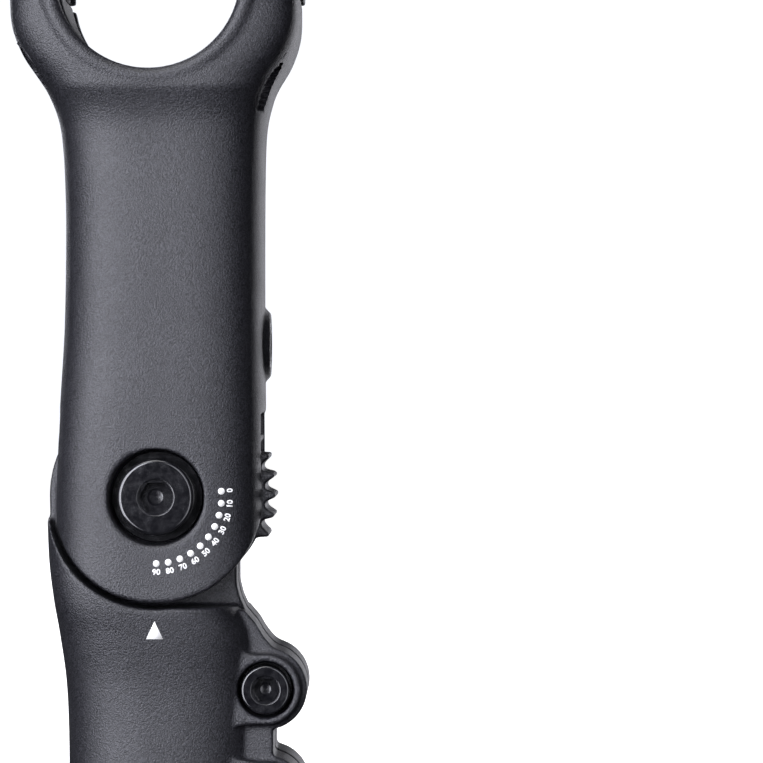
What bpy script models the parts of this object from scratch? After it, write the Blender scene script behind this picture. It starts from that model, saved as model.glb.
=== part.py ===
"""Threadless handlebar stem whose arm tilts between 0 and 90 degrees.

The origin is where the steerer axis meets the bottom face of the steerer clamp. +Z runs up the
steerer and +X points forward, the way the arm swings down. Sizes are in millimetres, and most
places are given from the pivot: MM turns them into metres when a mesh is made.
"""

import math

import bmesh
import bpy
from mathutils import Matrix

MM = 0.001
WELD = 1e-6

# Driving dimensions
STEERER_R = 14.3
BAR_R = 15.9
STEM_LENGTH = 90.0
PIVOT_HEIGHT = 60.0
PIVOT_BACK = 0.7
BAR_BACK = 1.3
ARM_HALF_WIDTH = 20.0
CLAMP_HALF_WIDTH = 22.0
TONGUE_HALF_WIDTH = 9.0
FIT = 0.08
GAP = 0.3

# Toothed tongue and lock
TOOTH_STEP = 10.0
TOOTH_TIP_R = 20.5
TOOTH_ROOT_R = 19.0
TOOTH_FLAT = 1.1
FIRST_TOOTH = -20.0
LAST_TOOTH = 110.0
HEEL_R = 19.3
MESH_GAP = 0.15
LOCK_LIFT = 1.6
WEDGE_TRAVEL = 4.0
WEDGE_SLOPE = LOCK_LIFT / WEDGE_TRAVEL
LOCK_HEIGHT = 26.5
LOCK_SEAT_X = 13.6
LOCK_SEAT_R = 4.55
BOSS_R = 5.7
BOSS_FRONT = 19.5

# Handlebar clamp
SPLIT = 1.5
SPLIT_GAP = 1.2
PLATE_END = 26.3
PLATE_NOSE = 18.6
PLATE_SHOULDER = (18.0, 11.9)
BOLT_SPREAD = 20.8
BOLT_SIDE = 13.5
PLATE_SEAT = 7.2
TAPPED_END = -22.5

# Cheeks of the arm
CHEEK_R = 18.3
POCKET_R = 21.2
POCKET_HALF_WIDTH = TONGUE_HALF_WIDTH + 1.0
SLOT_TOP = 14.4
RECESS_R = 8.35
RECESS_DEPTH = 6.2
CAVITY_REAR, CAVITY_FRONT, CAVITY_TOP = -13.3, 10.5, 34.0

# Arm's cross-sections: height, rear edge, front edge, half width, squareness of the corners
ARM_STATIONS = (
    (0.0, -18.3, 18.3, 20.0, 5.0),
    (15.0, -17.2, 18.3, 20.0, 5.0),
    (30.0, -16.2, 18.1, 20.0, 5.0),
    (48.0, -15.9, 18.0, 20.0, 4.5),
    (62.0, -16.5, 18.2, 20.3, 4.5),
    (67.0, -17.3, 18.9, 20.9, 5.0),
    (72.0, -20.4, 20.3, 21.6, 6.0),
    (77.0, -23.6, 23.0, 22.0, 7.0),
    (82.0, -25.6, 24.5, 22.0, 8.0),
    (STEM_LENGTH - SPLIT - SPLIT_GAP / 2, -26.0, 24.7, 22.0, 8.0),
)

# Steerer clamp's cross-sections, in the same order
BASE_STATIONS = (
    (-60.0, -16.4, 17.8, 17.1, 2.0),
    (-44.0, -16.4, 17.8, 17.1, 2.0),
    (-33.0, -16.8, 17.8, 17.6, 2.4),
    (-24.0, -17.9, 16.9, 19.0, 3.4),
    (-18.5, -18.6, 13.9, 19.8, 4.5),
    (-11.0, -19.4, 13.8, 20.0, 5.0),
    (-2.0, -19.7, 13.8, 20.0, 5.0),
)
CHEEK_CLEARANCE_R = 19.5
SHELF_HEIGHT = -19.2
HORN_TOP = -4.0
TONGUE_FRONT = 13.6
BORE_TOP = -22.0
SLOT_HALF_WIDTH = 0.8
SLOT_UPPER_END = -9.0

# Pinch ears
EAR_HALF_WIDTH = 14.5
EAR_R = 7.2
FLANGE_FRONT = 20.1
PINCH_X = 18.8
PINCH_HEIGHTS = {"upper": -33.7, "lower": -52.5}
PINCH_SEAT = 9.2
PINCH_SEAT_R = 4.85

# Fasteners: shank radius, head radius, head height, key radius across corners
M5 = (2.5, 4.2, 4.8, 2.3)
M8 = (4.0, 6.55, 4.9, 2.9)
RING = 0.8
PIVOT_RING = 1.1
PIVOT_HEAD_R = 7.9
SLEEVE_R = 6.0
BUSH_R = 7.5

FINISHES = {
    "powder_coat": ((0.035, 0.036, 0.042), 0.5, 0.0),
    "black_steel": ((0.012, 0.012, 0.014), 0.22, 0.9),
    "bare_steel": ((0.42, 0.42, 0.44), 0.35, 1.0),
    "bronze": ((0.46, 0.31, 0.14), 0.4, 1.0),
    "polymer": ((0.75, 0.74, 0.7), 0.5, 0.0),
}

for stale in list(bpy.data.objects):
    bpy.data.objects.remove(stale, do_unlink=True)

PARTS = bpy.data.collections.new("handlebar_stem")
CUTTERS = bpy.data.collections.new("cutters")
for group in (PARTS, CUTTERS):
    bpy.context.scene.collection.children.link(group)


def arc(centre, radius, first, last, steps):
    """Points on a circle in the XZ plane, from one angle to another in degrees."""
    angles = [math.radians(first + (last - first) * i / steps) for i in range(steps + 1)]
    return [(centre[0] + radius * math.cos(a), centre[1] + radius * math.sin(a)) for a in angles]


def as_object(name, mesh, finish=None):
    """A part with its own material, or a cutter when it has no finish."""
    item = bpy.data.objects.new(name, mesh)
    if finish is None:
        CUTTERS.objects.link(item)
        item.hide_render = True
        item.display_type = "WIRE"
        return item
    PARTS.objects.link(item)
    colour, roughness, metallic = FINISHES[finish]
    coat = bpy.data.materials.new(name + "_" + finish)
    coat.use_nodes = True
    shader = coat.node_tree.nodes["Principled BSDF"]
    shader.inputs["Base Color"].default_value = (*colour, 1.0)
    shader.inputs["Roughness"].default_value = roughness
    shader.inputs["Metallic"].default_value = metallic
    mesh.materials.append(coat)
    return item


def mesh_of(name, work):
    """Turns a bmesh in millimetres into a mesh in metres."""
    bmesh.ops.recalc_face_normals(work, faces=work.faces)
    bmesh.ops.scale(work, vec=(MM, MM, MM), verts=work.verts)
    mesh = bpy.data.meshes.new(name)
    work.to_mesh(mesh)
    work.free()
    return mesh


def plate(name, outline, low, high, finish=None):
    """An XZ outline given thickness from one Y to another."""
    curve = bpy.data.curves.new(name, "CURVE")
    curve.dimensions = "2D"
    curve.fill_mode = "BOTH"
    curve.extrude = (high - low) / 2 * MM
    spline = curve.splines.new("POLY")
    spline.points.add(len(outline) - 1)
    for point, (x, z) in zip(spline.points, outline):
        point.co = (x * MM, z * MM, 0, 1)
    spline.use_cyclic_u = True
    guide = bpy.data.objects.new(name, curve)
    CUTTERS.objects.link(guide)
    guide.matrix_world = Matrix.Translation((0, (low + high) / 2 * MM, 0)) @ Matrix.Rotation(
        math.pi / 2, 4, "X"
    )
    seen = guide.evaluated_get(bpy.context.evaluated_depsgraph_get())
    mesh = bpy.data.meshes.new_from_object(seen)
    mesh.transform(guide.matrix_world)
    bpy.data.objects.remove(guide)
    work = bmesh.new()
    work.from_mesh(mesh)
    bmesh.ops.remove_doubles(work, verts=work.verts, dist=WELD)
    bmesh.ops.dissolve_limit(work, angle_limit=0.001, verts=work.verts, edges=work.edges)
    bmesh.ops.recalc_face_normals(work, faces=work.faces)
    work.to_mesh(mesh)
    work.free()
    return as_object(name, mesh, finish)


def box(name, low, high):
    work = bmesh.new()
    bmesh.ops.create_cube(work, size=1.0)
    size = [b - a for a, b in zip(low, high)]
    middle = [(a + b) / 2 for a, b in zip(low, high)]
    bmesh.ops.scale(work, vec=size, verts=work.verts)
    bmesh.ops.translate(work, vec=middle, verts=work.verts)
    return as_object(name, mesh_of(name, work))


def prism(name, radius, low, high, sides):
    """A cylinder along Z, or a hexagon with six sides."""
    work = bmesh.new()
    bmesh.ops.create_cone(
        work, cap_ends=True, segments=sides, radius1=radius, radius2=radius, depth=high - low
    )
    bmesh.ops.translate(work, vec=(0, 0, (low + high) / 2), verts=work.verts)
    return as_object(name, mesh_of(name, work))


def turned(name, profile, steps, finish=None, ring=False):
    """A profile of radius and height, spun about Z. A ring's profile closes on itself."""
    points = [(r * MM, 0, z * MM) for r, z in profile]
    edges = [(i, i + 1) for i in range(len(points) - 1)]
    if ring:
        edges.append((len(points) - 1, 0))
    mesh = bpy.data.meshes.new(name)
    mesh.from_pydata(points, edges, [])
    item = as_object(name, mesh, finish)
    spin = item.modifiers.new("spin", "SCREW")
    spin.steps = steps
    spin.render_steps = steps
    spin.use_merge_vertices = True
    spin.merge_threshold = WELD
    return item


def washer(name, inner, outer, thickness, steps, finish):
    profile = [(inner, thickness), (outer, thickness), (outer, 0), (inner, 0)]
    return turned(name, profile, steps, finish, ring=True)


def section(rear, front, half_width, squareness, height, limit=None, count=40):
    """One rounded cross-section of a loft. A limit trims it to that half length in X."""
    centre, half = (rear + front) / 2, (front - rear) / 2
    points = []
    for i in range(count):
        angle = 2 * math.pi * i / count
        c, s = math.cos(angle), math.sin(angle)
        x = centre + half * math.copysign(abs(c) ** (2 / squareness), c)
        y = half_width * math.copysign(abs(s) ** (2 / squareness), s)
        if limit is not None:
            x = max(-limit, min(limit, x))
        points.append((x, y, height))
    return points


def loft(name, rings, finish=None):
    """A closed skin through a stack of rings with the same number of points."""
    work = bmesh.new()
    rows = [[work.verts.new(p) for p in ring] for ring in rings]
    count = len(rings[0])
    for lower, upper in zip(rows, rows[1:]):
        for i in range(count):
            j = (i + 1) % count
            work.faces.new((lower[i], lower[j], upper[j], upper[i]))
    work.faces.new(list(reversed(rows[0])))
    work.faces.new(rows[-1])
    return as_object(name, mesh_of(name, work), finish)


def combine(target, other, operation="DIFFERENCE"):
    """A Boolean whose cutter travels with the part."""
    other.parent = target
    step = target.modifiers.new(other.name, "BOOLEAN")
    step.operation = operation
    step.object = other
    step.solver = "EXACT"


def soften(item, width, segments, angle=40.0):
    edge = item.modifiers.new("rounding", "BEVEL")
    edge.width = width * MM
    edge.segments = segments
    edge.limit_method = "ANGLE"
    edge.angle_limit = math.radians(angle)


def place(item, x, y, z, head=None):
    """Moves a part to a place given from the pivot, with its own +Z along head."""
    item.location = ((x - PIVOT_BACK) * MM, y * MM, (z + PIVOT_HEIGHT) * MM)
    turns = {"-Y": (math.pi / 2, 0, 0), "+Y": (-math.pi / 2, 0, 0), "+X": (0, math.pi / 2, 0)}
    if head in turns:
        item.rotation_euler = turns[head]


def cross_bore(name, x, z, radius, low, high, sides=40):
    """A cutter along Y, from one side of the stem to the other."""
    bore = prism(name, radius, low, high, sides)
    bore.rotation_euler = (-math.pi / 2, 0, 0)
    bore.location = (x * MM, 0, z * MM)
    return bore


def cap_screw(name, size, length, steps=24):
    """A socket-head screw along its own Z, with the head's underside at 0."""
    shank, head, height, key = size
    break_edge, point = 0.45, 0.6
    profile = [
        (0, height),
        (head - break_edge, height),
        (head, height - break_edge),
        (head, 0),
        (shank, 0),
        (shank, point - length),
        (shank - point, -length),
        (0, -length),
    ]
    screw = turned(name, profile, steps, "black_steel")
    combine(screw, prism(name + "_key", key, height * 0.4, height + 1, 6))
    return screw


def tooth_outline(tip, root, flat, first, last):
    """Teeth on a rim: each has a flat tip and a flat valley of the same width in degrees."""
    points = []
    tooth = first
    while tooth <= last + 0.001:
        for radius, turn in (
            (root, flat - TOOTH_STEP / 2),
            (tip, -flat),
            (tip, flat),
            (root, TOOTH_STEP / 2 - flat),
        ):
            angle = math.radians(tooth + turn)
            points.append((radius * math.cos(angle), radius * math.sin(angle)))
        tooth += TOOTH_STEP
    return points


def tongue():
    """Disc with teeth over the top and front, running down into the clamp."""
    outline = [(TONGUE_FRONT, -24.0), (TONGUE_FRONT, -10.5)]
    outline += tooth_outline(TOOTH_TIP_R, TOOTH_ROOT_R, TOOTH_FLAT, FIRST_TOOTH, LAST_TOOTH)
    outline += arc((0, 0), HEEL_R, LAST_TOOTH + TOOTH_STEP / 2, 180.0, 10)
    outline += [(-HEEL_R + 0.1, HORN_TOP - 0.6), (-17.0, -14.0), (-15.0, -24.0)]
    return plate("tongue", outline, -TONGUE_HALF_WIDTH, TONGUE_HALF_WIDTH)


def ears():
    """Flange down the front of the clamp with a round ear at each pinch bolt."""
    top, bottom = PINCH_HEIGHTS["upper"], PINCH_HEIGHTS["lower"]
    side = math.degrees(math.acos((FLANGE_FRONT - PINCH_X) / EAR_R))
    outline = [(4.0, bottom - EAR_R)]
    outline += arc((PINCH_X, bottom), EAR_R, -90.0, side, 10)
    outline += arc((PINCH_X, top), EAR_R, -side, 75.0, 10)
    outline += [(19.6, -26.0), (17.4, -23.0), (15.0, -19.9), (4.0, -19.9)]
    flange = plate("ears", outline, -EAR_HALF_WIDTH, EAR_HALF_WIDTH)
    soften(flange, 1.2, 2)
    return flange


def steerer_clamp():
    rings = [section(*row[1:], row[0]) for row in BASE_STATIONS]
    part = loft("steerer_clamp", rings, "powder_coat")
    cheek_room = [(-30.0, HORN_TOP)]
    start = 180 + math.degrees(math.asin(-HORN_TOP / CHEEK_CLEARANCE_R))
    end = 360 - math.degrees(math.asin(-SHELF_HEIGHT / CHEEK_CLEARANCE_R))
    cheek_room += arc((0, 0), CHEEK_CLEARANCE_R, start, end, 24)
    cheek_room += [(30.0, SHELF_HEIGHT), (30.0, 5.0), (-30.0, 5.0)]
    combine(part, plate("cheek_room", cheek_room, -25.0, 25.0))
    combine(part, tongue(), "UNION")
    combine(part, ears(), "UNION")
    bore = prism("steerer_bore", STEERER_R, -61.0, BORE_TOP, 48)
    bore.location = (PIVOT_BACK * MM, 0, 0)
    combine(part, bore)
    low, high = (8.0, -SLOT_HALF_WIDTH, -61.0), (30.0, SLOT_HALF_WIDTH, SLOT_UPPER_END)
    combine(part, box("pinch_slot", low, high))
    for name, height in PINCH_HEIGHTS.items():
        through = cross_bore(name + "_hole", PINCH_X, height, M5[0] + FIT, -20.0, 20.0, 24)
        seat = cross_bore(name + "_seat", PINCH_X, height, PINCH_SEAT_R, -20.0, -PINCH_SEAT, 32)
        combine(part, through)
        combine(part, seat)
    combine(part, cross_bore("bush_seat", 0, 0, BUSH_R + FIT, -12.0, 12.0))
    place(part, 0, 0, 0)


def extension_arm():
    rings = []
    for angle in (82, 70, 58, 46, 34, 22, 11):
        drop = math.radians(angle)
        reach = CHEEK_R * math.cos(drop)
        rings.append(section(*ARM_STATIONS[0][1:], -CHEEK_R * math.sin(drop), limit=reach))
    rings += [section(*row[1:], row[0]) for row in ARM_STATIONS]
    part = loft("extension_arm", rings, "powder_coat")
    boss = prism("lock_boss", BOSS_R, 12.0, BOSS_FRONT, 32)
    boss.location = (0, 0, LOCK_HEIGHT * MM)
    boss.rotation_euler = (0, math.pi / 2, 0)
    combine(part, boss, "UNION")
    lip = math.degrees(math.asin(SLOT_TOP / POCKET_R))
    room = [(-30.0, SLOT_TOP), (-30.0, -30.0), (30.0, -30.0), (30.0, SLOT_TOP)]
    room += arc((0, 0), POCKET_R, lip, 180 - lip, 20)
    combine(part, plate("pocket", room, -POCKET_HALF_WIDTH, POCKET_HALF_WIDTH))
    low = (CAVITY_REAR, -TONGUE_HALF_WIDTH, 12.0)
    combine(part, box("lock_cavity", low, (CAVITY_FRONT, TONGUE_HALF_WIDTH, CAVITY_TOP)))
    lock_holes = (("lock_hole", M5[0] + FIT, 8.0), ("lock_seat", LOCK_SEAT_R, LOCK_SEAT_X))
    for name, radius, start in lock_holes:
        hole = prism(name, radius, start, 21.0, 28)
        hole.location = (0, 0, LOCK_HEIGHT * MM)
        hole.rotation_euler = (0, math.pi / 2, 0)
        combine(part, hole)
    combine(part, cross_bore("sleeve_hole", 0, 0, SLEEVE_R + FIT, -25.0, 25.0))
    floor = ARM_HALF_WIDTH - RECESS_DEPTH
    combine(part, cross_bore("right_recess", 0, 0, RECESS_R, -25.0, -floor))
    combine(part, cross_bore("left_recess", 0, 0, RECESS_R, floor, 25.0))
    combine(part, cross_bore("bar_cradle", -BAR_BACK, STEM_LENGTH, BAR_R, -25.0, 25.0, 64))
    for number, (spread, side) in enumerate(bolt_places(), 1):
        tapped = prism(f"tapped_{number}", M5[0] + FIT, TAPPED_END, 5.0, 24)
        tapped.location = ((spread - BAR_BACK) * MM, side * MM, STEM_LENGTH * MM)
        combine(part, tapped)
    place(part, 0, 0, 0)


def bolt_places():
    return [(x, y) for x in (-BOLT_SPREAD, BOLT_SPREAD) for y in (-BOLT_SIDE, BOLT_SIDE)]


def bar_faceplate():
    across, up = PLATE_SHOULDER
    sink = (across**2 + up**2 - PLATE_NOSE**2) / (2 * (PLATE_NOSE - up))
    crown = PLATE_NOSE + sink
    lean = math.degrees(math.atan2(up + sink, across))
    split = -SPLIT + SPLIT_GAP / 2
    outline = [(PLATE_END - 0.6, split), (PLATE_END, split + 1.2), (PLATE_END, 3.6)]
    outline += [(PLATE_END - 0.9, 5.0)]
    outline += arc((0, -sink), crown, lean, 180 - lean, 16)
    outline += [(-PLATE_END + 0.9, 5.0), (-PLATE_END, 3.6), (-PLATE_END, split + 1.2)]
    outline += [(-PLATE_END + 0.6, split)]
    part = plate("bar_faceplate", outline, -CLAMP_HALF_WIDTH, CLAMP_HALF_WIDTH, "powder_coat")
    soften(part, 1.6, 2)
    combine(part, cross_bore("plate_bore", 0, 0, BAR_R, -25.0, 25.0, 64))
    for number, (spread, side) in enumerate(bolt_places(), 1):
        for kind, radius, start in (("clear", 2.75, -5.0), ("spotface", 4.6, PLATE_SEAT)):
            hole = prism(f"{kind}_{number}", radius, start, 20.0, 28)
            hole.location = (spread * MM, side * MM, 0)
            combine(part, hole)
    place(part, -BAR_BACK, 0, STEM_LENGTH)


def faceplate_bolts():
    for number, (spread, side) in enumerate(bolt_places(), 1):
        bolt = cap_screw(f"faceplate_bolt_{number}", M5, 20.0)
        place(bolt, spread - BAR_BACK, side, STEM_LENGTH + PLATE_SEAT + FIT)


def pinch_bolts():
    for name, height in PINCH_HEIGHTS.items():
        ring = washer("pinch_washer_" + name, M5[0] + FIT, 4.6, RING, 28, "black_steel")
        place(ring, PINCH_X, -PINCH_SEAT - FIT, height, "-Y")
        bolt = cap_screw("pinch_bolt_" + name, M5, 22.0)
        place(bolt, PINCH_X, -PINCH_SEAT - RING - 2 * FIT, height, "-Y")


def pivot_hardware():
    floor = ARM_HALF_WIDTH - RECESS_DEPTH
    ring = washer("pivot_washer", M8[0] + FIT, PIVOT_HEAD_R, PIVOT_RING, 36, "black_steel")
    place(ring, 0, -floor - FIT, 0, "-Y")
    bolt = cap_screw("pivot_bolt", M8, 22.0, 36)
    place(bolt, 0, -floor - PIVOT_RING - 2 * FIT, 0, "-Y")
    sleeve_nut(floor)
    inner, outer = SLEEVE_R + FIT, BUSH_R
    half = TONGUE_HALF_WIDTH - 0.2
    profile = [(inner, half), (outer, half), (outer, -half), (inner, -half)]
    place(turned("pivot_bush", profile, 40, "bronze", ring=True), 0, 0, 0, "-Y")
    for name, side in (("right", -1), ("left", 1)):
        disc = washer("friction_washer_" + name, SLEEVE_R + FIT, 16.0, 0.8, 40, "polymer")
        place(disc, 0, side * (TONGUE_HALF_WIDTH + 0.5) + 0.4, 0, "-Y")


def sleeve_nut(floor):
    """Threaded tube through both cheeks, with its head in the left recess."""
    length, thread = 2 * floor - 0.8, M8[0] + FIT
    profile = [
        (0, 4.6),
        (PIVOT_HEAD_R - 0.5, 4.6),
        (PIVOT_HEAD_R, 4.1),
        (PIVOT_HEAD_R, 0),
        (SLEEVE_R, 0),
        (SLEEVE_R, -length),
        (thread, -length),
        (thread, -3.0),
        (0, -3.0),
    ]
    nut = turned("pivot_sleeve_nut", profile, 40, "black_steel")
    combine(nut, prism("sleeve_key", M8[3], 1.2, 6.0, 6))
    place(nut, 0, floor + FIT, 0, "+Y")


def lock_hardware():
    ring = washer("lock_washer", M5[0] + FIT, LOCK_SEAT_R - 0.1, RING, 28, "black_steel")
    place(ring, LOCK_SEAT_X + FIT, 0, LOCK_HEIGHT, "+X")
    bolt = cap_screw("lock_bolt", M5, 26.5)
    place(bolt, LOCK_SEAT_X + RING + 2 * FIT, 0, LOCK_HEIGHT, "+X")
    lock_wedge()
    lock_shoe()


def lock_wedge():
    """T-shaped nut: its middle carries the thread and its sides press on the shoe."""
    rear, front = CAVITY_REAR + 0.8, CAVITY_REAR + 9.8
    top = CAVITY_TOP - GAP
    ramp = [(rear, shoe_ramp(rear) + GAP), (front, shoe_ramp(front) + GAP)]
    side = TONGUE_HALF_WIDTH - GAP
    part = plate("lock_wedge", ramp + [(front, top), (rear, top)], -side, side, "bare_steel")
    middle = box("wedge_middle", (rear, -4.6, LOCK_HEIGHT - 4.2), (front, 4.6, top - 1.0))
    combine(part, middle, "UNION")
    thread = prism("wedge_thread", M5[0] + FIT, -20.0, 10.0, 24)
    thread.location = (0, 0, LOCK_HEIGHT * MM)
    thread.rotation_euler = (0, math.pi / 2, 0)
    combine(part, thread)
    place(part, 0, 0, 0)


def shoe_ramp(x):
    """Height of the shoe's sloping top at x, with the lock open."""
    return LOCK_HEIGHT + 1.2 + WEDGE_SLOPE * (x - CAVITY_REAR - 5.3)


def lock_shoe():
    """Saddle with four teeth below and a ramp above, open along the middle for the bolt."""
    rear, front = CAVITY_REAR + GAP, CAVITY_FRONT - GAP
    smooth = TOOTH_TIP_R + MESH_GAP
    root = TOOTH_ROOT_R + MESH_GAP
    teeth = tooth_outline(smooth, root, TOOTH_FLAT + 0.3, 70, 110)
    start = math.degrees(math.acos(front / smooth))
    end = math.degrees(math.acos(rear / smooth))
    under = arc((0, 0), smooth, start, 68.0, 4) + teeth[2:-2] + arc((0, 0), smooth, 112.0, end, 4)
    under = [(x, z + LOCK_LIFT) for x, z in under]
    crest = shoe_ramp(CAVITY_REAR + 14.5)
    outline = under + [(rear, shoe_ramp(rear)), (CAVITY_REAR + 14.5, crest), (front, crest)]
    side = TONGUE_HALF_WIDTH - GAP
    part = plate("lock_shoe", outline, -side, side, "bare_steel")
    room = box("bolt_room", (-20.0, -5.0, LOCK_HEIGHT - 4.6), (20.0, 5.0, 40.0))
    combine(part, room)
    place(part, 0, 0, 0)


steerer_clamp()
extension_arm()
bar_faceplate()
faceplate_bolts()
pinch_bolts()
pivot_hardware()
lock_hardware()
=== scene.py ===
"""Looks for a threadless handlebar stem whose arm tilts between 0 and 90 degrees.

Shapes are drawn in millimetres from the pivot and turned into metres when a piece is finished.
+X points forward, the way the arm swings down, and the right side of the stem faces -Y.
"""

import math

import bmesh
import bpy
from mathutils import Matrix, Vector
from mathutils.bvhtree import BVHTree

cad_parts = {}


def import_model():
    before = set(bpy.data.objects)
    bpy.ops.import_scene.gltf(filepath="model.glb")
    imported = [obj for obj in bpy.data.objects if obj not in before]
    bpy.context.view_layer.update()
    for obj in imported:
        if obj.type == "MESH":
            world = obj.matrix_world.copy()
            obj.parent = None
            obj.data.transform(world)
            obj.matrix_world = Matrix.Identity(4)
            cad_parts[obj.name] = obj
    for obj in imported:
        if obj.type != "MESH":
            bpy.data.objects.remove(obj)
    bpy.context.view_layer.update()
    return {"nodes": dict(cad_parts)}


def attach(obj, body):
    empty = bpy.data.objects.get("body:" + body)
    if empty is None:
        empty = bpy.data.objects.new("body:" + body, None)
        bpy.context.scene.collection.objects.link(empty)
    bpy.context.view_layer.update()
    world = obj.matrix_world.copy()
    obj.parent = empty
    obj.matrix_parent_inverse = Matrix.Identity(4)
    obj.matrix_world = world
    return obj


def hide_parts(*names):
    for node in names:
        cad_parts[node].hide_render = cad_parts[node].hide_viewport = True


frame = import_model()

# The frame's origin is on the steerer's axis, at the bottom of the clamp
STEERER_X = 0.7
BASE_BOTTOM = -60.0
TO_FRAME = Matrix.Scale(0.001, 4) @ Matrix.Translation((-STEERER_X, 0.0, -BASE_BOTTOM))

# Steerer clamp
STEERER_R = 14.3
BORE_TOP, BORE_EASE = -22.0, 0.7
SLOT_REAR, SLOT_TOP, SLOT_HALF_WIDTH = 8.0, -9.0, 0.8
SHELF = -19.2
HORN_TOP = -4.0
CLEARANCE_R = 19.4
TONGUE_SIDE = 9.0
TIP_R, ROOT_R, HEEL_R = 20.5, 18.6, 19.3
TIP_TURN, ROOT_TURN = 0.8, 3.5
FIRST_TOOTH, LAST_TOOTH, TOOTH_STEP = -20, 110, 10
BUSH_SEAT_R, BUSH_SEAT_SIDE = 7.58, 12.0

# Pinch ears
PINCH_X = 18.8
PINCH_HEIGHTS = {"upper": -33.7, "lower": -52.5}
PINCH_SEAT, PINCH_SEAT_R = 9.2, 4.95
EAR_R, EAR_REAR = 7.2, 4.0
FLANGE_FRONT, FLANGE_SIDE = 20.1, 12.0
BOSS_R, BOSS_SIDE = 6.1, 14.2

# Arm
CHEEK_R = 18.3
POCKET_R, POCKET_TOP, POCKET_SIDE = 21.2, 14.4, 10.0
CAVITY_LOW, CAVITY_HIGH = (-13.3, -9.0, 12.0), (10.5, 9.0, 34.0)
RECESS_R, RECESS_FLOOR = 8.35, 13.8
SLEEVE_HOLE_R = 6.08
LOCK_Z = 26.5
LOCK_SEAT_X, LOCK_SEAT_R = 13.6, 4.55
LOCK_BOSS_R, LOCK_BOSS_END_R, LOCK_BOSS_FRONT = 9.0, 5.5, 19.4

# Handlebar clamp
BAR_R, GROOVE_R = 15.9, 16.7
BAR_X, BAR_Z = -1.3, 90.0
ARM_TOP = 87.9
LIP_SIDE = 21.4
BOLT_SPREAD, BOLT_SIDE = 20.8, 13.5
TAPPED_R, TAPPED_BOTTOM = 2.9, 67.5
COIL_R, COIL_DEPTH, COIL_PITCH, COIL_WALL_R = 2.55, 0.42, 0.9, 3.25
PLATE_BOTTOM, PLATE_SEAT = -0.9, 7.2
PLATE_HOLE_R, SPOTFACE_R = 2.75, 4.7
PLATE_END, PLATE_NOSE = 26.3, 18.6
PLATE_SHOULDER_X, PLATE_SHOULDER_Z = 18.0, 11.9

# Screws: shank radius, head radius, head height, key radius across corners
M5 = (2.5, 4.2, 4.8, 2.31)
M8 = (4.0, 6.55, 4.9, 2.95)
M5_HOLE_R, M8_HOLE_R = 2.58, 4.08
M5_EDGE, M8_EDGE = 0.35, 0.6
THREAD_PITCH, THREAD_DEPTH = 0.8, 0.34
WASHER, PIVOT_WASHER = 0.8, 1.1
SLEEVE_HEAD = 7.9
PLAY = 0.08

# How far cutters reach: to the front and rear, to the sides, and along a pinch bolt
REACH, SIDE_REACH, PINCH_REACH = 30.0, 25.0, 20.0

# Radius of the hole left at the middle of a turned end
PINHOLE = 0.01

# Arm: height, rear edge, front edge, half width, squareness of the corners
ARM_STATIONS = (
    (-20.0, -18.3, 18.3, 20.0, 4.0),
    (0.0, -18.3, 18.3, 20.0, 4.0),
    (15.0, -17.7, 18.3, 20.0, 3.8),
    (30.0, -16.9, 18.2, 19.8, 3.6),
    (48.0, -16.7, 18.2, 19.5, 3.5),
    (58.0, -17.0, 18.3, 19.3, 3.5),
    (62.0, -17.3, 18.4, 19.3, 3.6),
    (65.0, -17.7, 18.6, 19.6, 3.7),
    (67.5, -18.4, 19.0, 20.3, 3.8),
    (69.5, -19.2, 19.5, 21.1, 4.0),
    (71.0, -19.9, 19.9, 21.7, 4.2),
    (73.0, -21.2, 20.8, 21.7, 4.5),
    (77.0, -23.8, 23.0, 21.6, 5.5),
    (82.0, -25.6, 24.5, 21.5, 6.5),
    (ARM_TOP, -26.0, 24.7, 21.5, 6.5),
)

# Steerer clamp, in the same order
BASE_STATIONS = (
    (BASE_BOTTOM, -16.4, 17.8, 17.1, 2.6),
    (-44.0, -16.4, 17.8, 17.1, 2.7),
    (-33.0, -16.8, 17.8, 17.6, 2.9),
    (-24.0, -17.9, 16.9, 19.0, 3.3),
    (-18.5, -18.7, 13.9, 19.8, 3.8),
    (-11.0, -19.5, 13.8, 20.0, 4.2),
    (-2.0, -19.8, 13.8, 20.0, 4.2),
)

BENCH = bpy.data.collections.new("bench")
bpy.context.scene.collection.children.link(BENCH)


def block(name, work):
    """A solid on the bench, from a bmesh in millimetres."""
    bmesh.ops.recalc_face_normals(work, faces=work.faces)
    mesh = bpy.data.meshes.new(name)
    work.to_mesh(mesh)
    work.free()
    item = bpy.data.objects.new(name, mesh)
    BENCH.objects.link(item)
    return item


def skin(name, rows, closed=True):
    """A surface through rows of points. A closed one is capped, and an open one joins its ends."""
    work = bmesh.new()
    rings = [[work.verts.new(p) for p in row] for row in rows]
    count = len(rows[0])
    pairs = list(zip(rings, rings[1:]))
    if not closed:
        pairs.append((rings[-1], rings[0]))
    for lower, upper in pairs:
        for i in range(count):
            j = (i + 1) % count
            work.faces.new((lower[i], lower[j], upper[j], upper[i]))
    if closed:
        work.faces.new(rings[0])
        work.faces.new(rings[-1])
    return block(name, work)


def turned(name, profile, steps=96, ring=False):
    """A profile of radius and height, spun about Z. A ring's profile closes on itself."""
    turns = [2 * math.pi * i / steps for i in range(steps)]
    rows = [[(r * math.cos(a), r * math.sin(a), z) for a in turns] for r, z in profile]
    return skin(name, rows, closed=not ring)


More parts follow.
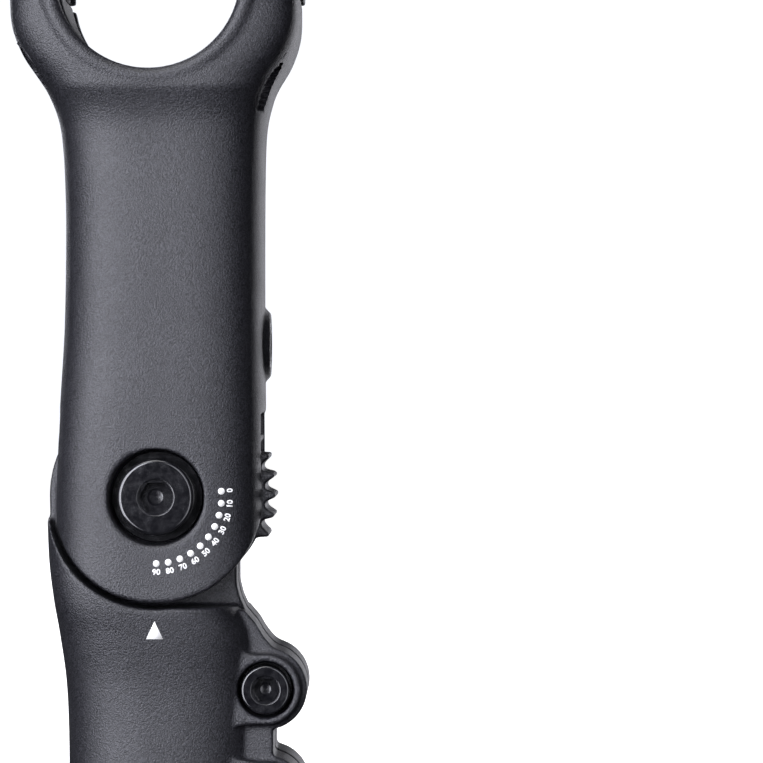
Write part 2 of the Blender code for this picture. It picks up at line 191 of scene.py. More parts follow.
def plate(name, outline, low, high):
    """An XZ outline given thickness from one Y to another."""
    work = bmesh.new()
    face = work.faces.new([work.verts.new((x, low, z)) for x, z in outline])
    grown = bmesh.ops.extrude_face_region(work, geom=[face])["geom"]
    moved = [v for v in grown if isinstance(v, bmesh.types.BMVert)]
    bmesh.ops.translate(work, vec=(0, high - low, 0), verts=moved)
    bmesh.ops.triangulate(work, faces=work.faces)
    return block(name, work)


def cuboid(name, low, high):
    """A box between two corners."""
    outline = [(low[0], low[2]), (high[0], low[2]), (high[0], high[2]), (low[0], high[2])]
    return plate(name, outline, low[1], high[1])


def rod(name, radius, start, end, sides=64, end_radius=None):
    """A round bar between two points, or a cone when the end has its own radius."""
    start, end = Vector(start), Vector(end)
    item = turned(name, [(radius, 0), (end_radius or radius, (end - start).length)], sides)
    lay(item, start, end - start)
    return item


def lay(item, at, along):
    """Turns a solid's own +Z to a direction and moves its origin to a point."""
    turn = Vector(along).to_track_quat("Z", "Y").to_matrix().to_4x4()
    item.data.transform(Matrix.Translation(at) @ turn)


def arc(centre, radius, first, last, steps):
    """Points on a circle, from one angle to another in degrees."""
    turns = [math.radians(first + (last - first) * i / steps) for i in range(steps + 1)]
    return [(centre[0] + radius * math.cos(a), centre[1] + radius * math.sin(a)) for a in turns]


def between(stations, height):
    """A station's values at any height, on a smooth curve through the given ones."""
    k = 0
    while k < len(stations) - 2 and stations[k + 1][0] < height:
        k += 1
    before, low = stations[max(k - 1, 0)], stations[k]
    high, after = stations[k + 1], stations[min(k + 2, len(stations) - 1)]
    span = high[0] - low[0]
    t = (height - low[0]) / span
    values = []
    for a, b, c, d in zip(before[1:], low[1:], high[1:], after[1:]):
        rise_low = (c - a) / (high[0] - before[0]) * span
        rise_high = (d - b) / (after[0] - low[0]) * span
        values.append(
            (2 * t**3 - 3 * t**2 + 1) * b
            + (t**3 - 2 * t**2 + t) * rise_low
            + (3 * t**2 - 2 * t**3) * c
            + (t**3 - t**2) * rise_high
        )
    return values


def forging(name, stations, step=1.0, count=144):
    """A solid with rounded-square sections that change smoothly with height."""
    bottom, top = stations[0][0], stations[-1][0]
    levels = round((top - bottom) / step)
    rows = []
    for level in range(levels + 1):
        height = bottom + (top - bottom) * level / levels
        rear, front, side, square = between(stations, height)
        row = []
        for i in range(count):
            angle = 2 * math.pi * i / count
            c, s = math.cos(angle), math.sin(angle)
            x = math.copysign(abs(c) ** (2 / square), c)
            y = math.copysign(abs(s) ** (2 / square), s)
            row.append(((rear + front) / 2 + x * (front - rear) / 2, y * side, height))
        rows.append(row)
    return skin(name, rows)


def alter(item, others, operation):
    """Joins, cuts or trims a solid with others, once it is settled."""
    for other in others:
        step = item.modifiers.new(other.name, "BOOLEAN")
        step.operation = operation
        step.object = other
        step.solver = "EXACT"


def add(item, *others):
    """Joins other solids to one."""
    alter(item, others, "UNION")


def cut(item, *others):
    """Takes other solids away from one."""
    alter(item, others, "DIFFERENCE")


def soften(item, width, segments, angle=40.0):
    """Rounds the edges sharper than an angle, once the solid is settled."""
    edge = item.modifiers.new("rounding", "BEVEL")
    edge.width = width
    edge.segments = segments
    edge.limit_method = "ANGLE"
    edge.angle_limit = math.radians(angle)


def settle(item):
    """Works the modifiers into the mesh and clears the solids that they used."""
    used = [m.object for m in item.modifiers if m.type == "BOOLEAN"]
    shape = item.evaluated_get(bpy.context.evaluated_depsgraph_get())
    mesh = bpy.data.meshes.new_from_object(shape)
    item.modifiers.clear()
    item.data = mesh
    for other in used:
        bpy.data.objects.remove(other)
    return item


def blast(item, grain, passes, keep):
    """Gives a carved solid the soft edges of a forged one, then keeps a share of its faces."""
    settle(item)
    even = item.modifiers.new("even", "REMESH")
    even.mode = "VOXEL"
    even.voxel_size = grain
    ease = item.modifiers.new("ease", "SMOOTH")
    ease.factor = 0.5
    ease.iterations = passes
    thin = item.modifiers.new("thin", "DECIMATE")
    thin.ratio = keep
    settle(item)


def finish_piece(item, slot, body, *nodes):
    """Moves a solid from the bench to the frame, with its body, finish and CAD nodes."""
    item.data.transform(TO_FRAME)
    item.data.shade_smooth()
    item.data.materials.clear()
    item.data.materials.append(FINISHES[slot])
    BENCH.objects.unlink(item)
    bpy.context.scene.collection.objects.link(item)
    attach(item, body)
    if nodes:
        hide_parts(*nodes)


def crisp(item, angle=35.0):
    """Smooth shading that breaks at edges sharper than an angle."""
    work = bmesh.new()
    work.from_mesh(item.data)
    for edge in work.edges:
        edge.smooth = len(edge.link_faces) == 2 and edge.calc_face_angle() < math.radians(angle)
    work.to_mesh(item.data)
    work.free()


# ---------------------------------------------------------------- finishes


def shader(name):
    """A node material with its node tree and Principled shader."""
    material = bpy.data.materials.new(name)
    material.use_nodes = True
    tree = material.node_tree
    return material, tree, tree.nodes["Principled BSDF"]


def noise(tree, scale, detail, roughness=0.5):
    """Noise in the object's own metres, so its scale counts grains along one metre."""
    place = tree.nodes.new("ShaderNodeTexCoord")
    node = tree.nodes.new("ShaderNodeTexNoise")
    node.inputs["Scale"].default_value = scale
    node.inputs["Detail"].default_value = detail
    node.inputs["Roughness"].default_value = roughness
    tree.links.new(place.outputs["Object"], node.inputs["Vector"])
    return node.outputs["Fac"]


def ramp(tree, source, low, high, first, second):
    """A colour ramp between two colours."""
    node = tree.nodes.new("ShaderNodeValToRGB")
    node.color_ramp.elements[0].position = low
    node.color_ramp.elements[1].position = high
    node.color_ramp.elements[0].color = (*first, 1.0)
    node.color_ramp.elements[1].color = (*second, 1.0)
    tree.links.new(source, node.inputs["Fac"])
    return node.outputs["Color"]


def spread(tree, source, low, high):
    """Stretches the middle of a noise over a range."""
    node = tree.nodes.new("ShaderNodeMapRange")
    node.inputs["From Min"].default_value = 0.3
    node.inputs["From Max"].default_value = 0.7
    node.inputs["To Min"].default_value = low
    node.inputs["To Max"].default_value = high
    tree.links.new(source, node.inputs["Value"])
    return node.outputs["Result"]


def bumps(tree, source, strength, distance, under=None):
    """Relief from a height, laid over another relief when there is one."""
    node = tree.nodes.new("ShaderNodeBump")
    node.inputs["Strength"].default_value = strength
    node.inputs["Distance"].default_value = distance
    tree.links.new(source, node.inputs["Height"])
    if under:
        tree.links.new(under, node.inputs["Normal"])
    return node.outputs["Normal"]


def powder_coat():
    """Satin black with a fine orange-peel grain and slightly uneven sheen."""
    material, tree, look = shader("powder_coat_look")
    grain = noise(tree, 3500.0, 2.0, 0.6)
    patches = noise(tree, 120.0, 4.0)
    colour = ramp(tree, grain, 0.38, 0.66, (0.007, 0.007, 0.009), (0.045, 0.045, 0.053))
    tree.links.new(colour, look.inputs["Base Color"])
    tree.links.new(spread(tree, patches, 0.36, 0.42), look.inputs["Roughness"])
    peel = bumps(tree, noise(tree, 1100.0, 2.0), 0.12, 0.00015)
    tree.links.new(bumps(tree, grain, 0.85, 0.00017, peel), look.inputs["Normal"])
    look.inputs["Specular IOR Level"].default_value = 0.6
    return material


def black_steel():
    """Glossy black oxide with oil marks and light wear."""
    material, tree, look = shader("black_steel_look")
    marks = noise(tree, 700.0, 5.0, 0.6)
    colour = ramp(tree, marks, 0.4, 0.75, (0.006, 0.006, 0.008), (0.02, 0.02, 0.023))
    tree.links.new(colour, look.inputs["Base Color"])
    tree.links.new(spread(tree, marks, 0.1, 0.2), look.inputs["Roughness"])
    tree.links.new(bumps(tree, noise(tree, 1800.0, 4.0), 0.3, 0.00003), look.inputs["Normal"])
    look.inputs["Specular IOR Level"].default_value = 0.75
    look.inputs["Coat Weight"].default_value = 0.5
    look.inputs["Coat Roughness"].default_value = 0.12
    return material


def metal(name, dark, light, low, high):
    """Machined metal with uneven colour and fine tool marks."""
    material, tree, look = shader(name)
    marks = noise(tree, 500.0, 6.0, 0.65)
    tree.links.new(ramp(tree, marks, 0.3, 0.7, dark, light), look.inputs["Base Color"])
    tree.links.new(spread(tree, marks, low, high), look.inputs["Roughness"])
    tree.links.new(bumps(tree, noise(tree, 2600.0, 3.0), 0.2, 0.00004), look.inputs["Normal"])
    look.inputs["Metallic"].default_value = 1.0
    return material


def plain(name, dark, light, low, high, painted_glow=0.0):
    """Moulded or printed material with a slight mottle, and a painted glow when one is given."""
    material, tree, look = shader(name)
    mottle = noise(tree, 1500.0, 4.0)
    tree.links.new(ramp(tree, mottle, 0.3, 0.7, dark, light), look.inputs["Base Color"])
    tree.links.new(spread(tree, mottle, low, high), look.inputs["Roughness"])
    tree.links.new(bumps(tree, mottle, 0.2, 0.00004), look.inputs["Normal"])
    # A given glow makes the surface emit light of its own. This is painted brightness, because the
    # material is not a lamp.
    look.inputs["Emission Color"].default_value = (1.0, 1.0, 1.0, 1.0)
    look.inputs["Emission Strength"].default_value = painted_glow
    return material


FINISHES = {
    "powder_coat": powder_coat(),
    "black_steel": black_steel(),
    "bare_steel": metal("bare_steel_look", (0.3, 0.3, 0.32), (0.5, 0.5, 0.52), 0.3, 0.45),
    "bronze": metal("bronze_look", (0.33, 0.2, 0.08), (0.5, 0.33, 0.16), 0.3, 0.45),
    "polymer": plain("polymer_look", (0.6, 0.58, 0.53), (0.72, 0.7, 0.66), 0.4, 0.55),
    # The dial's ink has a painted glow of 0.3, which brightens the printed marks beyond what the
    # lamps give.
    "dial_ink": plain("dial_ink_look", (0.84, 0.84, 0.84), (0.95, 0.95, 0.95), 0.45, 0.6, 0.3),
}


# ---------------------------------------------------------------- forgings


def toothed_tongue():
    """Disc with teeth over the top and front, running down into the clamp."""
    outline = [(15.4, -26.0), (15.2, -20.2), (14.2, -18.0), (13.6, -15.6), (13.6, -10.5)]
    flank = ((ROOT_R, -ROOT_TURN), (TIP_R, -TIP_TURN), (TIP_R, TIP_TURN), (ROOT_R, ROOT_TURN))
    for tooth in range(FIRST_TOOTH, LAST_TOOTH + 1, TOOTH_STEP):
        for radius, turn in flank:
            angle = math.radians(tooth + turn)
            outline.append((radius * math.cos(angle), radius * math.sin(angle)))
    outline += arc((0, 0), HEEL_R, 115.0, 180.0, 24)
    outline += [(0.1 - HEEL_R, HORN_TOP - 0.6), (-17.0, -14.0), (-15.0, -26.0)]
    return plate("tongue", outline, -TONGUE_SIDE, TONGUE_SIDE)


def pinch_ears():
    """Flange down the front of the clamp, with a round boss at each pinch bolt."""
    top, bottom = PINCH_HEIGHTS["upper"], PINCH_HEIGHTS["lower"]
    side = math.degrees(math.acos((FLANGE_FRONT - PINCH_X) / EAR_R))
    brow = [(19.6, -26.0), (18.3, -24.4), (17.0, -22.2), (15.0, -19.9), (EAR_REAR, -19.9)]
    outline = [(EAR_REAR, bottom - EAR_R)]
    outline += arc((PINCH_X, bottom), EAR_R, -90.0, side, 24)
    outline += arc((PINCH_X, top), EAR_R, -side, 75.0, 24)
    flange = plate("flange", outline + brow, -FLANGE_SIDE, FLANGE_SIDE)
    soften(flange, width=1.8, segments=4)
    pieces = [settle(flange)]
    for name, height in PINCH_HEIGHTS.items():
        outline = arc((PINCH_X, height), BOSS_R, -100.0, 100.0, 36)
        outline += [(EAR_REAR, height + 8.6), (EAR_REAR, height - 7.2)]
        boss = plate(name + "_boss", outline, -BOSS_SIDE, BOSS_SIDE)
        soften(boss, width=0.9, segments=3)
        pieces.append(settle(boss))
    return pieces


def cheek_room():
    """The space over the clamp that the arm's cheeks turn in."""
    start = 180 + math.degrees(math.asin(-HORN_TOP / CLEARANCE_R))
    end = 360 - math.degrees(math.asin(-SHELF / CLEARANCE_R))
    outline = [(-REACH, HORN_TOP)] + arc((0, 0), CLEARANCE_R, start, end, 48)
    outline += [(REACH, SHELF), (REACH, 5.0), (-REACH, 5.0)]
    return plate("cheek_room", outline, -SIDE_REACH, SIDE_REACH)


def steerer_clamp():
    """Split clamp for the steerer, with its pinch ears and the toothed tongue on top."""
    part = forging("clamp_body", BASE_STATIONS)
    cut(part, cheek_room())
    add(part, toothed_tongue(), *pinch_ears())
    below = BASE_BOTTOM - 1
    cut(part, rod("bore", STEERER_R, (STEERER_X, 0, below), (STEERER_X, 0, BORE_TOP), 128))
    low, high = (STEERER_X, 0, BASE_BOTTOM - 0.5), (STEERER_X, 0, BASE_BOTTOM + BORE_EASE)
    cut(part, rod("bore_mouth", STEERER_R + BORE_EASE, low, high, 128, STEERER_R - 0.1))
    low, high = (SLOT_REAR, -SLOT_HALF_WIDTH, below), (REACH, SLOT_HALF_WIDTH, SLOT_TOP)
    cut(part, cuboid("slot", low, high))
    for name, height in PINCH_HEIGHTS.items():
        right, left = (PINCH_X, -PINCH_REACH, height), (PINCH_X, PINCH_REACH, height)
        cut(part, rod(name + "_hole", M5_HOLE_R, right, left))
        cut(part, rod(name + "_seat", PINCH_SEAT_R, right, (PINCH_X, -PINCH_SEAT, height)))
    cut(part, rod("bush_seat", BUSH_SEAT_R, (0, -BUSH_SEAT_SIDE, 0), (0, BUSH_SEAT_SIDE, 0)))
    blast(part, grain=0.36, passes=4, keep=0.5)
    finish_piece(part, "powder_coat", "clamp", "steerer_clamp")
    return part


def bar_ring(name, low, high):
    """Rounded lip round the bar, at both sides of the clamp."""
    inner = BAR_R - 0.9
    lip = [(16.5, 21.85), (17.3, 22.0), (18.2, 21.8), (18.9, 21.2), (19.4, 20.3), (19.6, 19.0)]
    right = [(r, -y) for r, y in lip]
    left = [(r, y) for r, y in reversed(lip)]
    profile = [(inner, -LIP_SIDE)] + right + left + [(inner, LIP_SIDE)]
    ring = turned(name, profile, 160, ring=True)
    lay(ring, (BAR_X, 0, BAR_Z), (0, 1, 0))
    cut(ring, cuboid(name + "_trim", (-REACH, -REACH, low), (REACH, REACH, high)))
    return settle(ring)


def bar_bore(name):
    """Round bore with eased edges and a relief groove inside each edge."""
    half = [(BAR_R, 11.4), (GROOVE_R, 12.0), (GROOVE_R, 18.4), (BAR_R, 19.0), (BAR_R, 20.9)]
    half += [(GROOVE_R, 21.9), (GROOVE_R, 23.0)]
    bore = turned(name, [(r, -y) for r, y in reversed(half)] + half, 160)
    lay(bore, (BAR_X, 0, BAR_Z), (0, 1, 0))
    return bore


def bolt_places():
    """X and Y of the four faceplate bolts."""
    across = (BAR_X - BOLT_SPREAD, BAR_X + BOLT_SPREAD)
    return [(x, y) for x in across for y in (-BOLT_SIDE, BOLT_SIDE)]


def thread_rows(radius, depth, pitch, length, steps):
    """Rings of points whose radius follows a helical thread."""
    levels = round(length / pitch * 8)
    rows = []
    for level in range(levels + 1):
        height = length * level / levels
        row = []
        for i in range(steps):
            phase = (height / pitch - i / steps) % 1.0
            reach = radius - depth * abs(2 * phase - 1)
            angle = 2 * math.pi * i / steps
            row.append((reach * math.cos(angle), reach * math.sin(angle), height))
        rows.append(row)
    return rows


def merged(name, items):
    """Several solids as one piece."""
    work = bmesh.new()
    for item in items:
        work.from_mesh(item.data)
        bpy.data.objects.remove(item)
    return block(name, work)


def tapped_threads():
    """Threads of the four tapped holes, open where a hole breaks out of the neck."""
    shell = forging("neck", [row for row in ARM_STATIONS if row[0] > 61])
    cut(shell, bar_bore("thread_bore"))
    settle(shell)
    length = ARM_TOP - TAPPED_BOTTOM + 0.1
    coils = []
    for number, (x, y) in enumerate(bolt_places()):
        rows = thread_rows(COIL_R, COIL_DEPTH, COIL_PITCH, length, 48)
        rows = [[(px, py, pz - length) for px, py, pz in row] for row in rows]
        coil = skin(f"coil_{number}", rows)
        sleeve = rod(f"sleeve_{number}", COIL_WALL_R, (0, 0, 0.05), (0, 0, 0.1 - length), 48)
        cut(sleeve, coil)
        settle(sleeve)
        lay(sleeve, (x, y, ARM_TOP - 0.1), (0, 0, 1))
        trim = shell.copy()
        trim.data = shell.data.copy()
        BENCH.objects.link(trim)
        alter(sleeve, [trim], "INTERSECT")
        coils.append(settle(sleeve))
    bpy.data.objects.remove(shell)
    threads = merged("bar_threads", coils)
    crisp(threads)
    finish_piece(threads, "powder_coat", "arm")


def arm_pocket():
    """The open end of the arm between its cheeks, where the tongue sits."""
    outline = [(-REACH, POCKET_TOP), (-REACH, -REACH), (REACH, -REACH), (REACH, POCKET_TOP)]
    lip = math.degrees(math.asin(POCKET_TOP / POCKET_R))
    outline += arc((0, 0), POCKET_R, lip, 180 - lip, 40)
    return plate("pocket", outline, -POCKET_SIDE, POCKET_SIDE)


def below_cheeks():
    """Everything under the cheeks' round ends."""
    outline = [(-REACH, 0.0)] + arc((0, 0), CHEEK_R, 180.0, 360.0, 64)
    outline += [(REACH, 0.0), (REACH, -REACH), (-REACH, -REACH)]
    return plate("below_cheeks", outline, -SIDE_REACH, SIDE_REACH)


def extension_arm():
    """Hollow arm, from the cheeks round the tongue up to the lower half of the bar clamp."""
    part = forging("arm_body", ARM_STATIONS, 0.6)
    cut(part, below_cheeks())
    low, high = (16.0, 0, LOCK_Z), (LOCK_BOSS_FRONT, 0, LOCK_Z)
    add(part, rod("lock_boss", LOCK_BOSS_R, low, high, 64, LOCK_BOSS_END_R))
    add(part, bar_ring("arm_lip", ARM_TOP, BAR_Z + REACH))
    cut(part, arm_pocket(), cuboid("cavity", CAVITY_LOW, CAVITY_HIGH))
    outside = (21, 0, LOCK_Z)
    cut(part, rod("lock_hole", M5_HOLE_R, (8, 0, LOCK_Z), outside))
    cut(part, rod("lock_seat", LOCK_SEAT_R, (LOCK_SEAT_X, 0, LOCK_Z), outside))
    cut(part, rod("sleeve_hole", SLEEVE_HOLE_R, (0, -SIDE_REACH, 0), (0, SIDE_REACH, 0)))
    for side in (-1, 1):
        low, high = (0, side * SIDE_REACH, 0), (0, side * RECESS_FLOOR, 0)
        cut(part, rod("recess", RECESS_R, low, high, 96))
    cut(part, bar_bore("cradle"))
    for number, (x, y) in enumerate(bolt_places()):
        cut(part, rod(f"tapped_{number}", TAPPED_R, (x, y, TAPPED_BOTTOM), (x, y, 95.0), 48))
    blast(part, grain=0.4, passes=4, keep=0.55)
    finish_piece(part, "powder_coat", "arm", "extension_arm")
    return part


def plate_outline():
    """Faceplate's side view: square ends, shoulders and one long curve over the bar."""
    across, up = PLATE_SHOULDER_X, PLATE_SHOULDER_Z
    sink = (across**2 + up**2 - PLATE_NOSE**2) / (2 * (PLATE_NOSE - up))
    lean = math.degrees(math.atan2(up + sink, across))
    outline = [(PLATE_END, PLATE_BOTTOM), (PLATE_END, 3.6), (PLATE_END - 0.9, 5.0)]
    outline += arc((0, -sink), PLATE_NOSE + sink, lean, 180 - lean, 48)
    outline += [(0.9 - PLATE_END, 5.0), (-PLATE_END, 3.6), (-PLATE_END, PLATE_BOTTOM)]
    return [(x + BAR_X, z + BAR_Z) for x, z in outline]


def bar_faceplate():
    """Upper half of the bar clamp, flat on top, with four spotfaced bolt holes."""
    part = plate("faceplate_body", plate_outline(), -LIP_SIDE, LIP_SIDE)
    soften(part, width=2.2, segments=4, angle=30.0)
    settle(part)
    add(part, bar_ring("plate_lip", BAR_Z - REACH, BAR_Z + PLATE_BOTTOM))
    nose = BAR_Z + PLATE_NOSE
    cut(part, bar_bore("plate_bore"))
    cut(part, cuboid("plate_top", (-REACH, -REACH, nose), (REACH, REACH, nose + 20)))
    for number, (x, y) in enumerate(bolt_places()):
        low, seat, high = [(x, y, BAR_Z + z) for z in (-5, PLATE_SEAT, 20)]
        cut(part, rod(f"clear_{number}", PLATE_HOLE_R, low, high))
        cut(part, rod(f"spotface_{number}", SPOTFACE_R, seat, high))
    blast(part, grain=0.36, passes=4, keep=0.55)
    finish_piece(part, "powder_coat", "faceplate", "bar_faceplate")


# ---------------------------------------------------------------- hardware


def rounded_rim(radius, height, width, steps=5):
    """Profile points that round the edge of a head, from its face outwards."""
    points = []
    for i in range(steps + 1):
        turn = math.pi / 2 * i / steps
        reach = radius - width + width * math.sin(turn)
        points.append((reach, height - width + width * math.cos(turn)))
    return points


def cap_screw(name, shank, head, height, key, length, edge):
    """A socket-head screw along its own Z, with the head's underside at 0."""
    mouth = key + 0.12
    dish = [(PINHOLE, height - 0.4), (mouth, height - 0.4), (mouth + 0.04, height - 0.14)]
    dish += [(mouth + 0.1, height - 0.04), (mouth + 0.16, height), (mouth + 0.22, height)]
    profile = dish + [(head - edge - 0.06, height)] + rounded_rim(head, height, edge)
    profile += [(head, 0.15), (head - 0.15, 0), (PINHOLE, 0)]
    screw = turned(name, profile, 96)
    depth = height - 2.1
    hexagon = turned("key", [(key, depth), (key, height + 1)], 6)
    drill = [(PINHOLE, depth - 0.5), (key * 0.4, depth - 0.4), (key * 0.56, depth + 0.1)]
    cut(screw, hexagon, turned("drill", drill, 48))
    settle(screw)
    crisp(screw)
    thread = thread_rows(shank, THREAD_DEPTH, THREAD_PITCH, length - 1.0, 32)
    point = [(px * 0.82, py * 0.82, -0.6) for px, py, pz in thread[0]]
    rows = [[(px, py, pz - length + 1.2) for px, py, pz in row] for row in [point] + thread]
    return merged(name, [screw, skin(name + "_shaft", rows)])


def steel_piece(item, at, along, body, *nodes):
    """Puts a screw, nut or washer in its place, in black steel."""
    lay(item, at, along)
    crisp(item)
    finish_piece(item, "black_steel", body, *nodes)


def ring_washer(name, inner, outer, thickness):
    """A flat washer along its own Z, with its four edges broken."""
    edge = 0.12
    profile = [
        (inner, edge),
        (inner + edge, 0),
        (outer - edge, 0),
        (outer, edge),
        (outer, thickness - edge),
        (outer - edge, thickness),
        (inner + edge, thickness),
        (inner, thickness - edge),
    ]
    return turned(name, profile, 72, ring=True)


def pivot_screw():
    """Large screw in the right recess, with its washer."""
    face = -RECESS_FLOOR - PLAY
    ring = ring_washer("pivot_ring_steel", M8_HOLE_R, SLEEVE_HEAD, PIVOT_WASHER)
    steel_piece(ring, (0, face, 0), (0, -1, 0), "pivot_ring", "pivot_washer")
    screw = cap_screw("pivot_screw_steel", *M8, 22.0, M8_EDGE)
    face -= PIVOT_WASHER + PLAY
    steel_piece(screw, (0, face, 0), (0, -1, 0), "pivot_screw", "pivot_bolt")


def sleeve_nut():
    """Long nut in the left recess, whose sleeve is the pivot."""
    length, head, tall = 2 * RECESS_FLOOR - 0.8, SLEEVE_HEAD, 4.6
    profile = [(PINHOLE, tall)] + rounded_rim(head, tall, 0.7)
    profile += [(head, 0), (6.0, 0), (6.0, 0.2 - length), (5.8, -length), (M8_HOLE_R, -length)]
    profile += [(M8_HOLE_R, -3.0), (PINHOLE, -3.0)]
    nut = turned("sleeve_nut_steel", profile, 96)
    mouth = rod("nut_mouth", 2.5, (0, 0, 4.1), (0, 0, 4.7), 64, 3.3)
    cut(nut, turned("nut_key", [(2.9, 1.2), (2.9, 6.0)], 6), mouth)
    settle(nut)
    steel_piece(nut, (0, RECESS_FLOOR + PLAY, 0), (0, 1, 0), "arm", "pivot_sleeve_nut")


def pinch_screws():
    """The two screws that close the steerer clamp, each with its washer."""
    for name, height in PINCH_HEIGHTS.items():
        seat = -PINCH_SEAT - PLAY
        ring = ring_washer(f"{name}_ring_steel", M5_HOLE_R, 4.6, WASHER)
        place = (PINCH_X, seat, height)
        steel_piece(ring, place, (0, -1, 0), f"{name}_ring", f"pinch_washer_{name}")
        screw = cap_screw(f"{name}_screw_steel", *M5, 22.0, M5_EDGE)
        place = (PINCH_X, seat - WASHER - PLAY, height)
        steel_piece(screw, place, (0, -1, 0), f"{name}_screw", f"pinch_bolt_{name}")


def bar_screws():
    """The four screws that hold the faceplate."""
    for number, (x, y) in enumerate(bolt_places(), 1):
        screw = cap_screw(f"bar_screw_{number}_steel", *M5, 20.0, M5_EDGE)
        place = (x, y, BAR_Z + PLATE_SEAT + PLAY)
        steel_piece(screw, place, (0, 0, 1), f"bar_screw_{number}", f"faceplate_bolt_{number}")


def lock_screw():
    """Screw in the front of the arm that draws the lock's wedge, with its washer."""
    seat = LOCK_SEAT_X + PLAY
    ring = ring_washer("lock_ring_steel", M5_HOLE_R, 4.45, WASHER)
    steel_piece(ring, (seat, 0, LOCK_Z), (1, 0, 0), "arm", "lock_washer")
    screw = cap_screw("lock_screw_steel", *M5, 26.5, M5_EDGE)
    place = (seat + WASHER + PLAY, 0, LOCK_Z)
    steel_piece(screw, place, (1, 0, 0), "lock_screw", "lock_bolt")


# ---------------------------------------------------------------- printed marks

# Dial: angles in degrees, and the rest in millimetres
DIAL_START, DIAL_STEP = 5.3, 10.5
DOT_PLACE_R, DOT_R = 11.4, 0.57
NUMERAL_PLACE_R, NUMERAL_HEIGHT = 12.9, 1.0
INK_RISE, INK_DEPTH = 0.04, 0.2
PRINT_FROM = -40.0


def printed(name, flats, surface, body):
    """Thin marks laid on a piece's right side. Each flat is a list of XZ points and its faces."""
    tree = BVHTree.FromObject(surface, bpy.context.evaluated_depsgraph_get())
    work = bmesh.new()
    for points, faces in flats:
        deep, shallow = [], []
        for x, z in points:
            start = TO_FRAME @ Vector((x, PRINT_FROM, z))
            hit = tree.ray_cast(start, Vector((0, 1, 0)))[0]
            y = (TO_FRAME.inverted() @ hit).y
            shallow.append(work.verts.new((x, y - INK_RISE, z)))
            deep.append(work.verts.new((x, y + INK_DEPTH, z)))
        sides = {}
        for face in faces:
            work.faces.new([shallow[i] for i in face])
            work.faces.new([deep[i] for i in reversed(face)])
            for i, j in zip(face, face[1:] + face[:1]):
                sides[(i, j)] = True
        for i, j in sides:
            if (j, i) not in sides:
                work.faces.new((shallow[i], shallow[j], deep[j], deep[i]))
    finish_piece(block(name, work), "dial_ink", body)


def numeral(value, angle, radius, height):
    """A number as points and faces, with its top towards the pivot."""
    curve = bpy.data.curves.new("numeral", "FONT")
    curve.body = str(value)
    curve.align_x, curve.align_y = "CENTER", "CENTER"
    curve.size = height * 1.38
    curve.offset = 0.045
    curve.resolution_u = 3
    item = bpy.data.objects.new("numeral", curve)
    BENCH.objects.link(item)
    shape = item.evaluated_get(bpy.context.evaluated_depsgraph_get())
    mesh = bpy.data.meshes.new_from_object(shape)
    bpy.data.objects.remove(item)
    work = bmesh.new()
    work.from_mesh(mesh)
    bmesh.ops.remove_doubles(work, verts=work.verts, dist=0.001)
    work.verts.index_update()
    middle = Vector((radius * math.cos(angle), radius * math.sin(angle)))
    right = Vector((-math.sin(angle), math.cos(angle)))
    up = Vector((-math.cos(angle), -math.sin(angle)))
    points = [tuple(middle + right * v.co.x + up * v.co.y) for v in work.verts]
    faces = [[v.index for v in f.verts] for f in work.faces]
    work.free()
    return points, faces


def dial(surface):
    """Ten dots on an arc, each with its number of degrees."""
    marks = []
    for number in range(10):
        angle = math.radians(DIAL_START - DIAL_STEP * number)
        centre = (DOT_PLACE_R * math.cos(angle), DOT_PLACE_R * math.sin(angle))
        dot = arc(centre, DOT_R, 0.0, 360.0, 28)[:-1]
        marks.append((dot, [list(range(len(dot)))]))
        marks.append(numeral(number * 10, angle, NUMERAL_PLACE_R, NUMERAL_HEIGHT))
    printed("dial_marks", marks, surface, "arm")


def pointer(surface):
    """Triangle on the clamp that the dial turns past."""
    corners = [(-0.2, -21.4), (-1.66, -24.5), (1.26, -24.5)]
    printed("pointer_mark", [(corners, [[0, 1, 2]])], surface, "clamp")


clamp = steerer_clamp()
arm = extension_arm()
tapped_threads()
bar_faceplate()
pivot_screw()
sleeve_nut()
pinch_screws()
bar_screws()
lock_screw()
dial(arm)
pointer(clamp)

CAD_FINISHES = {
    "pivot_bush": "bronze",
    "friction_washer_right": "polymer",
    "friction_washer_left": "polymer",
    "lock_wedge": "bare_steel",
    "lock_shoe": "bare_steel",
}
for node, finish in CAD_FINISHES.items():
    materials = frame["nodes"][node].data.materials
    materials.clear()
    materials.append(FINISHES[finish])

# ---------------------------------------------------------------- studio


def softbox(name, place, aim, width, height, power, colour=(1.0, 1.0, 1.0)):
    """A rectangular light that the camera doesn't see."""
    light = bpy.data.lights.new(name, "AREA")
    light.shape = "RECTANGLE"
    light.size, light.size_y = width, height
    light.energy = power
    light.color = colour
    item = bpy.data.objects.new(name, light)
    bpy.context.scene.collection.objects.link(item)
    item.location = place
    item.rotation_euler = (Vector(aim) - Vector(place)).to_track_quat("-Z", "Y").to_euler()
    item.visible_camera = False


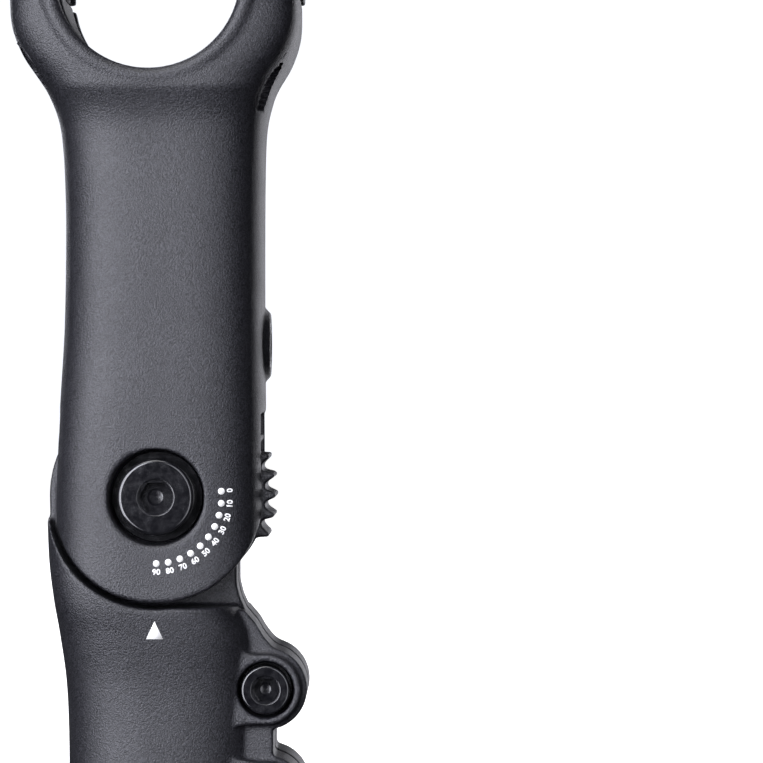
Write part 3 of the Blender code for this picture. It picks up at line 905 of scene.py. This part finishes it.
def floor():
    """A pale floor that only the camera sees."""
    work = bmesh.new()
    bmesh.ops.create_circle(work, cap_ends=True, segments=96, radius=3.0)
    mesh = bpy.data.meshes.new("floor")
    work.to_mesh(mesh)
    work.free()
    item = bpy.data.objects.new("floor", mesh)
    bpy.context.scene.collection.objects.link(item)
    item.location.z = -0.0004
    material, tree, look = shader("floor_look")
    tint = ramp(tree, noise(tree, 6.0, 2.0), 0.3, 0.7, (0.9, 0.9, 0.9), (0.93, 0.93, 0.93))
    tree.links.new(tint, look.inputs["Base Color"])
    look.inputs["Roughness"].default_value = 0.9
    look.inputs["Emission Color"].default_value = (1.0, 1.0, 1.0, 1.0)
    look.inputs["Emission Strength"].default_value = 1.0
    mesh.materials.append(material)
    item.visible_diffuse = False
    item.visible_glossy = False


def world():
    """White behind the object and dimmer as a source of light."""
    sky = bpy.data.worlds.new("studio")
    bpy.context.scene.world = sky
    sky.use_nodes = True
    tree = sky.node_tree
    back = tree.nodes["Background"]
    back.inputs["Color"].default_value = (0.93, 0.95, 1.0, 1.0)
    seen = tree.nodes.new("ShaderNodeLightPath")
    level = tree.nodes.new("ShaderNodeMapRange")
    level.inputs["To Min"].default_value = 0.02
    level.inputs["To Max"].default_value = 1.1
    tree.links.new(seen.outputs["Is Camera Ray"], level.inputs["Value"])
    tree.links.new(level.outputs["Result"], back.inputs["Strength"])


floor()
world()
MIDDLE = (0.0, 0.0, 0.09)
AIM = (0.0, 0.0, 0.12)
COOL = (0.9, 0.91, 1.0)
softbox("key", (-0.4, -0.85, 0.24), AIM, 0.46, 1.1, 13.0, COOL)
softbox("side", (-0.75, -0.5, 0.12), AIM, 0.4, 1.1, 8.5, COOL)
softbox("fill", (0.36, -0.85, 0.24), AIM, 0.46, 1.1, 3.8, COOL)
softbox("top", (-0.15, -0.1, 0.9), MIDDLE, 0.6, 0.6, 6.0)
softbox("rim", (0.48, 1.2, 0.1), MIDDLE, 0.45, 0.9, 2.4, (0.93, 0.93, 1.0))
softbox("back", (-0.3, 1.1, 0.5), MIDDLE, 0.5, 0.8, 3.0, COOL)

lens = bpy.data.cameras.new("camera")
lens.sensor_width = 36.0
lens.lens = 164.2
lens.clip_start = 0.01
camera = bpy.data.objects.new("camera", lens)
bpy.context.scene.collection.objects.link(camera)
camera.location = (0.0383, -0.62, 0.08)
camera.rotation_euler = (math.pi / 2, 0, 0)
bpy.context.scene.camera = camera
bpy.context.scene.view_settings.view_transform = "Standard"
